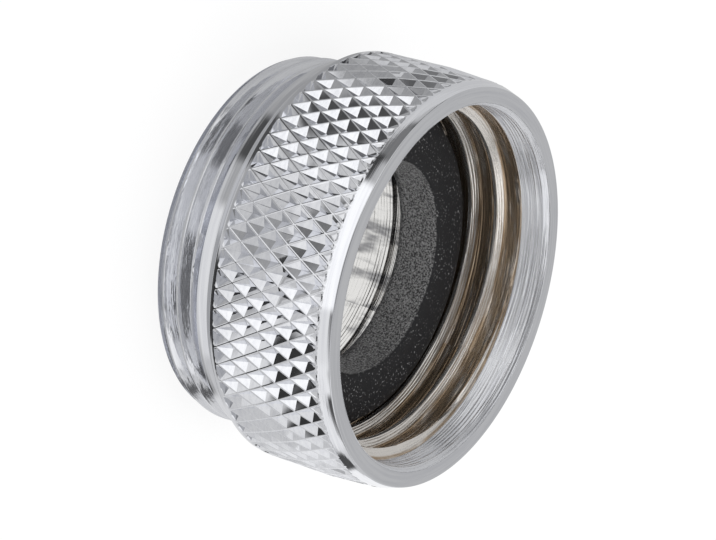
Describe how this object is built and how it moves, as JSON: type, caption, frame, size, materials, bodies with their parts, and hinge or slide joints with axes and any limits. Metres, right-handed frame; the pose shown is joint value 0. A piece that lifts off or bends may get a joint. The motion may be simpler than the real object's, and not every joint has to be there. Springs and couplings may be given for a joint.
{
  "type": "thread reducer",
  "caption": "Knurled round pipe thread reducer with a coarse internal thread at its mouth, a finer external thread at its foot, a through bore and a flat rubber washer inside",
  "frame": {"origin": "centre of the male end's flat face, on which the part stands", "axes": "+Z along the fitting's axis, from the male end towards the mouth; +X through one column of the knurl's pits"},
  "size_m": [0.0242, 0.0242, 0.0125],
  "materials": {
    "chrome": "bright chrome plating on turned brass, with fine turning lines",
    "rubber": "matt black moulded rubber with a rougher punched hole wall"
  },
  "bodies": {
    "root": {"body": "chrome", "washer": "rubber"}
  },
  "joints": []
}
